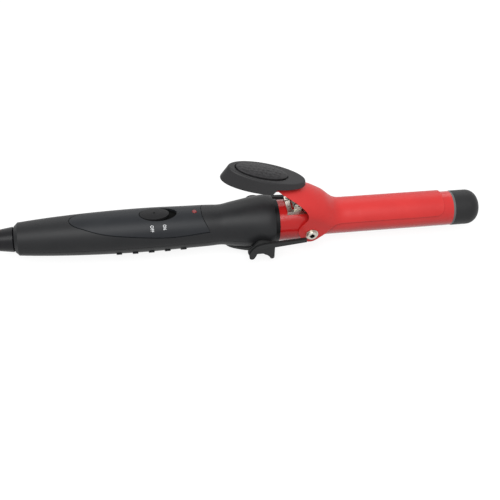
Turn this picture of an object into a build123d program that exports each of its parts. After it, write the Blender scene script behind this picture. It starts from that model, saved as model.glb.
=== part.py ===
from build123d import *
from math import cos, radians, sin, sqrt, tan
import os

os.makedirs("parts", exist_ok=True)

# A 25 mm curling iron. The handle and barrel axis is X, the mouth of the cord
# inlet is at the origin, the barrel tip is at +X and the switch faces +Z.

# ---------------------------------------------------------------- clearances
fit = 0.05
part_gap = 0.1
slide_gap = 0.15
play = 0.15
seam_reveal = 0.25

# -------------------------------------------------------------------- handle
# Outer radius of the handle and its flared ferrule at stations along X.
handle_rear = 14.0
handle_rear_r = 9.2
bevel_length = 2.5
handle_profile = [
    (handle_rear + bevel_length, 11.6),
    (44.0, 13.8),
    (78.0, 15.25),
    (111.0, 15.6),
    (135.0, 15.1),
    (152.0, 14.65),
    (158.5, 14.55),
    (163.5, 15.45),
    (171.0, 16.8),
    (179.0, 18.2),
    (187.0, 19.2),
    (192.5, 19.2),
    (195.5, 18.4),
]
handle_front = handle_profile[-1][0]
handle_max_r = max(r for x, r in handle_profile)
handle_wall = 2.8
end_wall = 3.0
seam_z = -2.0
mouth_depth = 4.3
front_wall = 2.5
rib_wall = 2.0

# ------------------------------------------------------------- control panel
panel_thickness = 1.6
panel_seam = 0.4
# Half width of the panel at stations along X, from its pointed rear end.
panel_tip_x = 52.0
panel_edge = [
    (53.9, 3.7),
    (59.2, 6.6),
    (67.1, 9.4),
    (75.1, 11.3),
    (85.9, 12.7),
    (99.5, 13.7),
    (113.3, 14.2),
    (130.0, 13.9),
    (148.4, 13.0),
]
panel_front = [(146.0, 9.7), (144.0, 5.3)]
panel_front_x = 143.4

# -------------------------------------------------------------------- switch
switch_x = 113.2
switch_window_length = 26.6
switch_window_width = 12.6
switch_floor_r = 13.5
knob_length = 20.6
knob_width = 10.8
knob_rise = 0.75
switch_travel = 5.0
stem_length = 4.0
stem_width = 3.0
knob_dimple_r = 0.7

# ----------------------------------------------------------------- indicator
lamp_x = 138.9
lens_r = 1.7
lens_flange_r = 2.4

# --------------------------------------------------------------------- board
board_rear = 92.0
board_front = 151.0
board_width = 17.0
board_z = 5.0
board_thickness = 1.6
board_post_xs = (96.5, 147.0)
board_post_r = 2.6
board_post_top = 13.0
board_screw_r = 1.2

# ------------------------------------------------------------ handle screws
handle_screw_places = [(54.0, 0.0), (174.0, -9.0), (174.0, 9.0)]
boss_r = 3.1
screw_r = 1.45
screw_head_r = 2.7
screw_head_height = 1.8
screw_head_z = -8.6

# ---------------------------------------------------------------- grip ribs
grip_rib_xs = (84.7, 96.1, 107.5, 118.9, 130.3)
grip_rib_width = 3.8
grip_rib_rise = 0.9
grip_rib_top_z = -8.2

# -------------------------------------------------------------- cord swivel
swivel_mouth_r = 7.1
swivel_shoulder_r = 8.9
swivel_gap = 0.4
cord_bore_r = 3.3
neck_r = 5.6
flange_r = 7.4
flange_width = 2.0
drum_r = 4.8
drum_front = 37.0
slip_ring_r = 5.6
slip_ring_width = 4.0
slip_ring_xs = (22.5, 30.5)
brush_width = 3.0
brush_thickness = 0.45

# ----------------------------------------------------------- barrel, sleeve
barrel_r = 12.7
barrel_wall = 0.9
barrel_front = 330.0
sleeve_r = barrel_r + 2.1
sleeve_wall = 1.0
sleeve_rear = 181.0
sleeve_front = 228.0
sleeve_flange_r = sleeve_r + 1.2
barrel_rear = sleeve_rear - 0.5
front_ring_r = sleeve_r + 0.7
front_ring_end = handle_front + 3.5
mouth_r = front_ring_r + 0.6

# -------------------------------------------------------------------- tip
tip_length = 20.4
tip_r = barrel_r + 0.2
tip_round = 9.0
plug_flange = 1.6
plug_depth = 12.0
spigot_r = 8.0
spigot_length = 10.0

# ------------------------------------------------------------------- heater
heater_length = 72.0
heater_front = barrel_front - 18.0
heater_rear = heater_front - heater_length
chip_length = 22.0
chip_width = 15.0
chip_thickness = 2.0
chip_count = 3
electrode_thickness = 0.4
insulation_thickness = 0.3
film_thickness = 0.1
leaf_gap = 1.5
leaf_thickness = 0.35
lead_r = 0.9
lead_y = 5.0
spacer_x = sleeve_rear + 9.0
spacer_width = 4.0
fuse_x = heater_rear - 35.0
fuse_length = 12.0
fuse_r = 2.1

# --------------------------------------------------------------------- pivot
pivot_x = 222.0
ear_y = sleeve_r + 1.2
sheet = 0.9
shoulder_r = 2.0
pivot_thread_r = 1.5
pivot_head_r = 3.7
pivot_head_height = 1.5
tab_thickness = 0.8
boss_hole_r = 3.0

# --------------------------------------------------------------------- clamp
# Crown height and half width of the pressed sheet at stations along X.
clip_r = barrel_r + 1.15
clamp_stations = [
    (169.0, 43.7, ear_y),
    (178.0, 41.4, ear_y),
    (187.0, 39.2, ear_y),
    (196.0, 37.0, ear_y),
    (205.0, 34.8, ear_y),
    (214.0, 32.3, ear_y),
    (219.0, 30.5, ear_y),
    (224.0, 28.1, ear_y),
    (229.0, 25.0, ear_y - 0.3),
    (234.0, 21.1, ear_y - 0.8),
    (239.0, 16.4, clip_r + 0.6),
    (244.0, clip_r + 0.25, clip_r + 0.15),
    (249.0, clip_r + 0.02, clip_r + 0.02),
    (254.0, clip_r, clip_r),
    (259.0, clip_r, clip_r),
]
clip_front = barrel_front - 8.0
clip_edge_deg = 67.5
clip_corner_r = 6.0
tongue_half_width = 6.8
tongue_rear = 172.0

# ----------------------------------------------------------------- thumb pad
pad_centre = (186.5, 38.4)
pad_slope_deg = 13.86
pad_top_slope_deg = 17.4
pad_half_length = 32.1
pad_half_width = 12.3
pad_top_half_length = 28.8
pad_top_half_width = 10.6
pad_thickness = 9.5
pad_skirt = 0.95
pad_edge_r = 1.5
insert_centre = -4.4
insert_half_length = 19.4
insert_half_width = 7.2
insert_groove = 0.8
insert_depth = 1.2
insert_rise = 1.2
pad_rivet_xs = (179.0, 193.0)
pad_rivet_r = 1.5
pad_rivet_head_r = 2.9
pad_rivet_length = 5.0
pad_rivet_seat = 0.3
# The front of the pad is thin, with a web under its middle that sits on the lever.
pad_step = 4.5
pad_step_xs = (189.6, 194.6)
pad_web_half_width = 4.0
pad_web_front = 207.0

# -------------------------------------------------------------------- spring
spring_x = 212.0
spring_z = sleeve_r + 3.6
spring_mean_r = 3.0
spring_wire_r = 0.5
spring_half_length = 5.1
spring_turns = 6
fixed_leg_deg = 14.0
moving_leg_deg = 48.0
fixed_leg_length = 6.5
moving_leg_length = 15.6
pin_r = 1.25
bracket_rear = 204.5
bracket_front = 219.0
bracket_half_width = 8.0
bracket_sheet = 0.9
bracket_ear_y = 5.9
bracket_window = (208.0, 216.5)
bracket_rivet_x = 206.3
rivet_y = 3.0
rivet_r = 0.8
rivet_head_r = 1.4
rivet_head_height = 0.45

# --------------------------------------------------------------------- stand
stand_y = handle_max_r + 5.3
stand_plate = 2.2
rib_rise = 0.9
cradle_gap = 0.6
cradle_wall = 1.8
cradle_rear = 161.0
cradle_front = 193.5
cradle_top_z = -6.0
ledge_rear = 181.0
ledge_height = 3.0
arm_tip_y = ear_y + 7.2
arm_tip_x = 217.0
arm_root_x = 196.0
arm_z = 0.8
tab_eye_r = 4.6
tab_width = 2.6
tab_rivet_x = 209.0
tab_rivet_r = 0.9
tab_rivet_cover = 0.4

# ------------------------------------------------- places that follow from them
front_wall_x = handle_front - mouth_depth
cavity_front = front_wall_x - front_wall
panel_mid_x = (panel_tip_x + panel_front_x) / 2
panel_reach = (panel_front_x - panel_tip_x) / 2
nut_face_y = ear_y - sheet - play
tab_inner_y = ear_y + play
head_y = tab_inner_y + tab_thickness + fit


def handle_body(inset, start, end):
    """Solid of the handle's outer form, its surface moved inwards by inset, cut off at two planes."""
    rear_x = handle_profile[0][0]
    with BuildPart() as body:
        with BuildSketch(Plane.XY):
            with BuildLine():
                surface = Spline([(x, r - inset) for x, r in handle_profile])
                Polyline(
                    surface @ 1,
                    (handle_front, 0),
                    (handle_rear, 0),
                    (handle_rear, handle_rear_r - inset),
                    (rear_x, handle_profile[0][1] - inset),
                )
            make_face()
        revolve(axis=Axis.X)
        with BuildSketch(Plane.YZ.offset(start)):
            Circle(3 * handle_max_r)
        extrude(amount=end - start, mode=Mode.INTERSECT)
    return body.part


def tube(outer_r, inner_r, start, end):
    """Tube or rod along X between two stations."""
    with BuildPart() as pipe:
        with BuildSketch(Plane.YZ.offset(start)):
            Circle(outer_r)
            if inner_r > 0:
                Circle(inner_r, mode=Mode.SUBTRACT)
        extrude(amount=end - start)
    return pipe.part


def cross_rod(radius, x, z, start, end):
    """Rod along Y at one place of the side view."""
    with BuildPart() as rod:
        with BuildSketch(Plane.XZ.offset(-start)):
            with Locations((x, z)):
                Circle(radius)
        extrude(amount=start - end)
    return rod.part


def upright_rod(radius, x, y, start, end):
    """Rod along Z at one place of the plan view."""
    with BuildPart() as rod:
        with BuildSketch(Plane.XY.offset(start)):
            with Locations((x, y)):
                Circle(radius)
        extrude(amount=end - start)
    return rod.part


def shell_post(radius, x, y, start, end):
    """Upright post that runs into the handle's wall and stops half way through it."""
    with BuildPart() as post:
        add(handle_body(handle_wall / 2, x - 2 * radius, x + 2 * radius))
        add(upright_rod(radius, x, y, start, end), mode=Mode.INTERSECT)
    return post.part


def panel_block(grow):
    """Upright block with the panel's outline, grown by a seam, above the handle axis."""
    with BuildPart() as block:
        with BuildSketch(Plane.XY):
            with BuildLine():
                half = [(x + grow * (x - panel_mid_x) / panel_reach, y + grow) for x, y in panel_edge]
                other_half = [(x, -y) for x, y in reversed(half)]
                Spline(other_half + [(panel_tip_x - grow, 0)] + half)
                front = [(x + grow * (x - panel_mid_x) / panel_reach, y) for x, y in panel_front]
                other_front = [(x, -y) for x, y in reversed(front)]
                Spline(half[-1:] + front + [(panel_front_x + grow, 0)] + other_front + other_half[:1])
            make_face()
        extrude(amount=2 * handle_max_r)
    return block.part


def switch_block(length, width, x, start, end):
    """Upright block with the rounded outline that the switch window and knob share."""
    with BuildPart() as block:
        with BuildSketch(Plane.XY.offset(start)):
            with Locations((x, 0)):
                Ellipse(length / 2, width / 2)
        extrude(amount=end - start)
    return block.part


# ============================================================ handle shells
rib_x = sleeve_rear + 1.2
panel_floor_inset = panel_thickness + part_gap
knob_centre = switch_x - switch_travel / 2
knob_under_r = switch_floor_r + slide_gap

with BuildPart() as handle_hull:
    add(handle_body(0, handle_rear, handle_front))
    add(handle_body(handle_wall, handle_rear + end_wall, cavity_front), mode=Mode.SUBTRACT)
    add(handle_body(handle_wall / 2, rib_x, rib_x + rib_wall))
    add(tube(neck_r + part_gap, 0, handle_rear - 1, handle_rear + end_wall + 1), mode=Mode.SUBTRACT)
    add(tube(sleeve_r + fit, 0, rib_x - 1, handle_front), mode=Mode.SUBTRACT)
    add(tube(mouth_r, 0, front_wall_x, handle_front + 1), mode=Mode.SUBTRACT)

stem_slot_length = stem_length + switch_travel + 2 * slide_gap
stem_slot_width = stem_width + 2 * slide_gap

with BuildPart() as panel_pocket:
    add(handle_body(-1, handle_rear, handle_front))
    add(handle_body(panel_floor_inset, handle_rear, handle_front), mode=Mode.SUBTRACT)
    add(panel_block(panel_seam), mode=Mode.INTERSECT)

with BuildPart() as switch_pocket:
    add(switch_block(switch_window_length, switch_window_width, switch_x, 0, handle_max_r))
    add(tube(switch_floor_r, 0, handle_rear, handle_front), mode=Mode.SUBTRACT)

with BuildPart() as upper_handle_shell:
    add(handle_hull.part)
    split(bisect_by=Plane.XY.offset(seam_z), keep=Keep.TOP)
    for x in board_post_xs:
        add(shell_post(board_post_r, x, 0, board_z + board_thickness, board_post_top))
    for x, y in handle_screw_places:
        add(shell_post(boss_r, x, y, seam_z, handle_max_r))
    add(panel_pocket.part, mode=Mode.SUBTRACT)
    add(switch_pocket.part, mode=Mode.SUBTRACT)
    with BuildSketch(Plane.XY):
        with Locations((switch_x, 0)):
            Rectangle(stem_slot_length, stem_slot_width)
        with Locations((lamp_x, 0)):
            Circle(lens_flange_r + part_gap)
    extrude(amount=handle_max_r, mode=Mode.SUBTRACT)
    for x in board_post_xs:
        add(upright_rod(board_screw_r + fit, x, 0, board_z, 12.0), mode=Mode.SUBTRACT)
    for x, y in handle_screw_places:
        add(upright_rod(screw_r + fit, x, y, seam_z - 1, 8.0), mode=Mode.SUBTRACT)

with BuildPart() as seam_groove:
    add(handle_body(-1, handle_rear, handle_front))
    add(handle_body(seam_reveal, handle_rear, handle_front), mode=Mode.SUBTRACT)
    with BuildSketch(Plane.XY.offset(seam_z)):
        with Locations((handle_front / 2, 0)):
            Rectangle(2 * handle_front, 4 * handle_max_r)
    extrude(amount=-seam_reveal, mode=Mode.INTERSECT)

with BuildPart() as grip_ribs:
    for x in grip_rib_xs:
        add(handle_body(-grip_rib_rise, x - grip_rib_width / 2, x + grip_rib_width / 2))
    split(bisect_by=Plane.XY.offset(grip_rib_top_z), keep=Keep.BOTTOM)

with BuildPart() as lower_handle_shell:
    add(grip_ribs.part)
    add(handle_body(handle_wall / 2, grip_rib_xs[0] - grip_rib_width, grip_rib_xs[-1] + grip_rib_width))
    add(handle_body(handle_wall, handle_rear, cavity_front), mode=Mode.SUBTRACT)
    add(handle_hull.part)
    split(bisect_by=Plane.XY.offset(seam_z), keep=Keep.BOTTOM)
    for x, y in handle_screw_places:
        add(shell_post(boss_r, x, y, -handle_max_r, seam_z))
    add(seam_groove.part, mode=Mode.SUBTRACT)
    for x, y in handle_screw_places:
        add(upright_rod(screw_r + part_gap, x, y, -handle_max_r, 0), mode=Mode.SUBTRACT)
        add(upright_rod(screw_head_r + part_gap, x, y, -handle_max_r - 1, screw_head_z), mode=Mode.SUBTRACT)

with BuildPart() as handle_screws:
    for x, y in handle_screw_places:
        add(upright_rod(screw_head_r, x, y, screw_head_z - screw_head_height, screw_head_z))
        add(upright_rod(screw_r, x, y, screw_head_z, 7.0))
    for x, y in handle_screw_places:
        with BuildSketch(Plane.XY.offset(screw_head_z - screw_head_height)):
            with Locations((x, y)):
                Rectangle(3.2, 0.8)
                Rectangle(0.8, 3.2)
        extrude(amount=1.1, mode=Mode.SUBTRACT)

# ============================================================ control panel
with BuildPart() as control_panel:
    add(handle_body(0, handle_rear, handle_front))
    add(handle_body(panel_thickness, handle_rear, handle_front), mode=Mode.SUBTRACT)
    add(panel_block(0), mode=Mode.INTERSECT)
    add(switch_block(switch_window_length, switch_window_width, switch_x, 0, handle_max_r), mode=Mode.SUBTRACT)
    add(upright_rod(lens_r + fit, lamp_x, 0, 0, handle_max_r), mode=Mode.SUBTRACT)

# =================================================================== switch
slider_z = board_z + board_thickness + 1.4
housing_top = 11.2

with BuildPart() as switch_knob:
    add(switch_block(knob_length, knob_width, knob_centre, 0, handle_max_r))
    add(tube(knob_under_r, 0, handle_rear, handle_front), mode=Mode.SUBTRACT)
    with BuildSketch(Plane.XY):
        with BuildLine():
            crown = ThreePointArc(
                (knob_centre - knob_length / 2, handle_profile[3][1]),
                (knob_centre, handle_profile[3][1] + knob_rise),
                (knob_centre + knob_length / 2, handle_profile[3][1]),
            )
            Polyline(crown @ 1, (knob_centre + knob_length / 2, 0), (knob_centre - knob_length / 2, 0), crown @ 0)
        make_face()
    revolve(axis=Axis.X, mode=Mode.INTERSECT)
    with BuildSketch(Plane.XY.offset(slider_z + 1)):
        with Locations((knob_centre, 0)):
            Rectangle(stem_length, stem_width)
    extrude(amount=knob_under_r - slider_z)
    add(upright_rod(knob_dimple_r, knob_centre, 0, handle_profile[3][1] + 0.3, handle_max_r), mode=Mode.SUBTRACT)

with BuildPart() as switch_slider:
    with BuildSketch(Plane.XY.offset(slider_z)):
        with Locations((knob_centre, 0)):
            Rectangle(stem_length + 3, stem_width + 2)
    extrude(amount=2.6)
    with BuildSketch(Plane.XY.offset(slider_z + 1)):
        with Locations((knob_centre, 0)):
            Rectangle(stem_length + 2 * fit, stem_width + 2 * fit)
    extrude(amount=5, mode=Mode.SUBTRACT)

with BuildPart() as switch_housing:
    with BuildSketch(Plane.XY.offset(board_z + board_thickness)):
        with Locations((switch_x, 0)):
            Rectangle(17.0, 8.6)
    extrude(amount=housing_top - board_z - board_thickness)
    with BuildSketch(Plane.XY.offset(slider_z - slide_gap)):
        with Locations((switch_x, 0)):
            Rectangle(stem_length + 3 + switch_travel + 4 * slide_gap, stem_width + 2 + 2 * slide_gap)
    extrude(amount=10, mode=Mode.SUBTRACT)

# ==================================================================== board
with BuildPart() as circuit_board:
    with BuildSketch(Plane.XY.offset(board_z)):
        with Locations(((board_rear + board_front) / 2, 0)):
            RectangleRounded(board_front - board_rear, board_width, 1.5)
        with Locations([(x, 0) for x in board_post_xs]):
            Circle(board_screw_r + part_gap, mode=Mode.SUBTRACT)
    extrude(amount=board_thickness)

with BuildPart() as board_screws:
    for x in board_post_xs:
        add(upright_rod(2.3, x, 0, board_z - 1.4, board_z))
        add(upright_rod(board_screw_r, x, 0, board_z, 10.5))

with BuildPart() as board_components:
    with BuildSketch(Plane.XY.offset(board_z + board_thickness)):
        with Locations((127.5, 3.8)):
            RectangleRounded(9.0, 5.5, 0.6)
        with Locations((127.5, -3.6)):
            Circle(2.4)
        with Locations((133.5, -3.6)):
            Rectangle(2.4, 4.2)
        with Locations((101.5, 4.5)):
            Rectangle(3.0, 6.0)
    extrude(amount=3.8)

with BuildPart() as led_lamp:
    add(upright_rod(1.9, lamp_x, 0, board_z + board_thickness, board_z + board_thickness + 1.0))
    add(upright_rod(1.5, lamp_x, 0, board_z + board_thickness, 10.4))
    fillet(led_lamp.edges().filter_by(GeomType.CIRCLE).sort_by(Axis.Z)[-1], radius=1.2)

lens_under_z = sqrt((handle_profile[4][1] - panel_thickness) ** 2 - lens_flange_r ** 2) - 0.1
with BuildPart() as indicator_lens:
    add(upright_rod(lens_flange_r, lamp_x, 0, lens_under_z - 1.2, lens_under_z))
    add(upright_rod(lens_r, lamp_x, 0, lens_under_z - 1.2, handle_profile[4][1] + 0.25))
    fillet(indicator_lens.edges().filter_by(GeomType.CIRCLE).sort_by(Axis.Z)[-1], radius=0.6)

# ============================================================== cord swivel
neck_start = handle_rear - swivel_gap
flange_start = handle_rear + end_wall + 0.3
drum_rear = flange_start + flange_width
with BuildPart() as swivel_collar:
    with BuildSketch(Plane.XY):
        with BuildLine():
            Polyline(
                (0.0, cord_bore_r),
                (0.0, swivel_mouth_r - 0.8),
                (0.8, swivel_mouth_r),
                (neck_start - 0.6, swivel_shoulder_r),
                (neck_start, swivel_shoulder_r - 0.6),
                (neck_start, neck_r),
                (flange_start, neck_r),
                (flange_start, flange_r),
                (drum_rear, flange_r),
                (drum_rear, drum_r),
                (drum_front, drum_r),
                (drum_front, cord_bore_r),
                close=True,
            )
        make_face()
    revolve(axis=Axis.X)

with BuildPart() as swivel_rings:
    for x in slip_ring_xs:
        add(tube(slip_ring_r, drum_r + fit, x - slip_ring_width / 2, x + slip_ring_width / 2))

brush_top = -(slip_ring_r + fit)
brush_foot = brush_top - 1.3
with BuildPart() as swivel_brushes:
    for x in slip_ring_xs:
        with BuildSketch(Plane.YZ.offset(x - brush_width / 2)):
            Polygon(
                (-4.2, brush_foot),
                (-1.1, brush_top),
                (1.1, brush_top),
                (4.2, brush_foot),
                (4.2, brush_foot - brush_thickness),
                (1.1, brush_top - brush_thickness),
                (-1.1, brush_top - brush_thickness),
                (-4.2, brush_foot - brush_thickness),
                align=None,
            )
        extrude(amount=brush_width)

with BuildPart() as brush_holder:
    add(handle_body(handle_wall + fit, slip_ring_xs[0] - 2.5, slip_ring_xs[1] + 2.5))
    with BuildSketch(Plane.XY.offset(brush_foot - brush_thickness)):
        with Locations((27.0, 0)):
            Rectangle(20.0, 10.0)
    extrude(amount=-10, mode=Mode.INTERSECT)

# ========================================================== barrel, sleeve
barrel_bore_r = barrel_r - barrel_wall
with BuildPart() as barrel_tube:
    add(tube(barrel_r, barrel_bore_r, barrel_rear, barrel_front))

with BuildPart() as base_sleeve:
    add(tube(sleeve_r, sleeve_r - sleeve_wall, sleeve_rear, sleeve_front))
    add(tube(sleeve_r - sleeve_wall / 2, barrel_r + fit, sleeve_rear, sleeve_rear + 1.4))
    add(tube(sleeve_r - sleeve_wall / 2, barrel_r + fit, sleeve_front - 1.4, sleeve_front))
    add(tube(sleeve_flange_r, sleeve_r - sleeve_wall / 2, cavity_front - 1.4, cavity_front - fit))
    fillet(base_sleeve.edges().filter_by(GeomType.CIRCLE).sort_by(Axis.X)[-1], radius=0.5)
    add(cross_rod(boss_hole_r + fit, pivot_x, 0, -2 * sleeve_r, 2 * sleeve_r), mode=Mode.SUBTRACT)
    for side in (-1, 1):
        add(upright_rod(rivet_r + fit, bracket_rivet_x, side * rivet_y, 0, 2 * sleeve_r), mode=Mode.SUBTRACT)

with BuildPart() as front_ring:
    add(tube(front_ring_r, sleeve_r + fit, front_wall_x, front_ring_end))
    fillet(front_ring.edges().filter_by(GeomType.CIRCLE).sort_by(Axis.X)[-1], radius=0.3)
    add(tube(mouth_r - part_gap, sleeve_r + fit, front_wall_x, front_wall_x + 1.5))

with BuildPart() as pivot_nuts:
    for side in (-1, 1):
        add(cross_rod(4.6, pivot_x, 0, side * (barrel_r + 0.2), side * sleeve_r))
    add(tube(sleeve_r - sleeve_wall - fit, 0, pivot_x - 6, pivot_x + 6), mode=Mode.INTERSECT)
    for side in (-1, 1):
        add(cross_rod(boss_hole_r, pivot_x, 0, side * (barrel_r + 0.2), side * nut_face_y))
        add(
            cross_rod(pivot_thread_r + fit, pivot_x, 0, side * (barrel_r + 0.2), side * ear_y),
            mode=Mode.SUBTRACT,
        )

with BuildPart() as pivot_screws:
    for side in (-1, 1):
        add(cross_rod(pivot_head_r, pivot_x, 0, side * head_y, side * (head_y + pivot_head_height)))
    fillet(pivot_screws.edges().filter_by(GeomType.CIRCLE).group_by(Axis.Y)[0], radius=0.7)
    fillet(pivot_screws.edges().filter_by(GeomType.CIRCLE).group_by(Axis.Y)[-1], radius=0.7)
    for side in (-1, 1):
        add(cross_rod(shoulder_r, pivot_x, 0, side * nut_face_y, side * head_y))
        add(cross_rod(pivot_thread_r, pivot_x, 0, side * (barrel_r + 0.5), side * nut_face_y))
        with BuildSketch(Plane.XZ.offset(-side * (head_y + pivot_head_height))):
            with Locations((pivot_x, 0)):
                Rectangle(4.2, 0.9)
                Rectangle(0.9, 4.2)
        extrude(amount=side * 0.9, mode=Mode.SUBTRACT)

# ====================================================================== tip
plug_front = barrel_front + plug_flange
tip_front = plug_front + tip_length
with BuildPart() as tip_plug:
    add(tube(barrel_bore_r - fit, 5.0, barrel_front - plug_depth, barrel_front))
    add(tube(barrel_r, 5.0, barrel_front, plug_front))
    add(tube(spigot_r, 5.0, plug_front, plug_front + spigot_length))

with BuildPart() as cool_tip:
    add(tube(tip_r, 0, plug_front, tip_front))
    fillet(cool_tip.edges().filter_by(GeomType.CIRCLE).sort_by(Axis.X)[-1], radius=tip_round)
    add(tube(spigot_r + fit, 0, plug_front, plug_front + spigot_length + part_gap), mode=Mode.SUBTRACT)

# =================================================================== heater
chip_z = chip_thickness / 2
plate_z = chip_z + electrode_thickness
block_z = plate_z + insulation_thickness
film_r = barrel_bore_r - fit
block_r = film_r - film_thickness - fit
heater_middle = (heater_rear + heater_front) / 2
chip_pitch = chip_length + 1.0

with BuildPart() as ptc_chips:
    with BuildSketch(Plane.XY.offset(-chip_z)):
        with Locations((heater_middle, 0)):
            with GridLocations(chip_pitch, 0, chip_count, 1):
                Rectangle(chip_length, chip_width)
    extrude(amount=chip_thickness)

with BuildPart() as electrode_plates:
    for side in (-1, 1):
        with BuildSketch(Plane.XY.offset(side * chip_z)):
            with Locations((heater_middle, 0)):
                Rectangle(heater_front - heater_rear - 2, chip_width + 1)
            with Locations(((heater_rear - 6 + heater_middle) / 2, side * lead_y)):
                Rectangle(heater_middle - heater_rear + 6, 3.0)
        extrude(amount=side * electrode_thickness)

with BuildPart() as insulation_plates:
    for side in (-1, 1):
        with BuildSketch(Plane.XY.offset(side * plate_z)):
            with Locations((heater_middle, 0)):
                Rectangle(heater_front - heater_rear, chip_width + 3)
        extrude(amount=side * insulation_thickness)

with BuildPart() as upper_heater_block:
    add(tube(block_r, 0, heater_rear, heater_front))
    split(bisect_by=Plane.XY.offset(block_z), keep=Keep.TOP)

with BuildPart() as lower_heater_block:
    add(tube(block_r, 0, heater_rear, heater_front))
    split(bisect_by=Plane.XY.offset(-block_z - leaf_gap), keep=Keep.BOTTOM)

with BuildPart() as heater_leaf_spring:
    leaf_top = -block_z
    leaf_low = -block_z - leaf_gap + leaf_thickness
    wave = [(0, leaf_low), (3, leaf_low), (8, leaf_top), (11, leaf_top), (16, leaf_low)]
    crest = [(heater_rear + 4 + 16 * turn + x, z) for turn in range(4) for x, z in wave[:4]]
    crest = crest + [(heater_rear + 4 + 16 * 4, leaf_low)]
    with BuildSketch(Plane.XZ):
        trough = [(x, z - leaf_thickness) for x, z in reversed(crest)]
        Polygon(*(crest + trough), align=None)
    extrude(amount=5.0, both=True)

with BuildPart() as insulation_film:
    add(tube(film_r, film_r - film_thickness, heater_rear - 2, heater_front + 2))

with BuildPart() as ceramic_spacer:
    add(tube(barrel_bore_r - fit, 0, spacer_x, spacer_x + spacer_width))
    with BuildSketch(Plane.YZ.offset(spacer_x)):
        with Locations((lead_y, chip_z), (-lead_y, -chip_z)):
            Circle(lead_r + fit)
    extrude(amount=spacer_width, mode=Mode.SUBTRACT)

lead_front = heater_rear - 6
with BuildPart() as heater_leads:
    for side in (-1, 1):
        lead_z = side * chip_z
        with BuildLine() as lead_path:
            FilletPolyline(
                (board_front - 3.0, side * lead_y, board_z - 0.1),
                (board_front - 3.0, side * lead_y, lead_z),
                (lead_front, side * lead_y, lead_z),
                radius=2.4,
            )
        with BuildSketch(Plane(origin=lead_path.line @ 0, z_dir=lead_path.line % 0)):
            Circle(lead_r)
        sweep(path=lead_path.line)

with BuildPart() as thermal_fuse:
    with BuildSketch(Plane.YZ.offset(fuse_x)):
        with Locations((lead_y, chip_z)):
            Circle(fuse_r)
            Circle(lead_r + fit, mode=Mode.SUBTRACT)
    extrude(amount=fuse_length)

with BuildPart() as mains_leads:
    for side, start_x in ((-1, slip_ring_xs[1]), (1, slip_ring_xs[0])):
        with BuildLine() as mains_path:
            FilletPolyline(
                (start_x, side * 4.7, brush_foot + lead_r + fit),
                (46.0, side * 6.6, brush_foot + lead_r + fit),
                (66.0, side * 6.6, -4.0),
                (84.0, side * 6.0, 0.0),
                (board_rear + 2.0, side * 6.0, 1.5),
                (board_rear + 2.0, side * 6.0, board_z - 0.1),
                radius=1.8,
            )
        with BuildSketch(Plane(origin=mains_path.line @ 0, z_dir=mains_path.line % 0)):
            Circle(lead_r)
        sweep(path=mains_path.line)

# ==================================================================== clamp
def clamp_form(inset, bottom):
    """Solid under the pressed sheet's surface: arched sections lofted along X, moved inwards by inset."""
    with BuildPart() as form:
        for i, (x, crown, half_width) in enumerate(clamp_stations):
            before = clamp_stations[max(i - 1, 0)]
            after = clamp_stations[min(i + 1, len(clamp_stations) - 1)]
            slope = (after[1] - before[1]) / (after[0] - before[0])
            top = crown - inset * sqrt(1 + slope**2)
            w = half_width - inset
            with BuildSketch(Plane.YZ.offset(x)):
                with BuildLine():
                    ThreePointArc((w, top - w), (0, top), (-w, top - w))
                    Polyline((-w, top - w), (-w, bottom), (w, bottom), (w, top - w))
                make_face()
        loft()
        free_end = form.faces().sort_by(Axis.X)[-1]
        extrude(free_end, amount=clip_front - clamp_stations[-1][0] + inset)
    return form.part


def pad_bottom_z(x):
    """Height of the thumb pad's underside over one place on the centre line."""
    return pad_centre[1] - (x - pad_centre[0]) * tan(radians(pad_slope_deg))


def slope_plane(x, lift):
    """Plane that lies along the thumb pad's underside at one station, raised off it by lift."""
    slope = radians(pad_slope_deg)
    normal = (sin(slope), 0, cos(slope))
    origin = (x + lift * normal[0], 0, pad_bottom_z(x) + lift * normal[2])
    return Plane(origin=origin, x_dir=(cos(slope), 0, -sin(slope)), z_dir=normal)


def slope_rod(radius, x, start, end):
    """Rod square to the thumb pad's underside, between two heights over it."""
    with BuildPart() as rod:
        with BuildSketch(slope_plane(x, start)):
            Circle(radius)
        extrude(amount=end - start)
    return rod.part


clip_edge_z = clip_r * cos(radians(clip_edge_deg))

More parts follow.
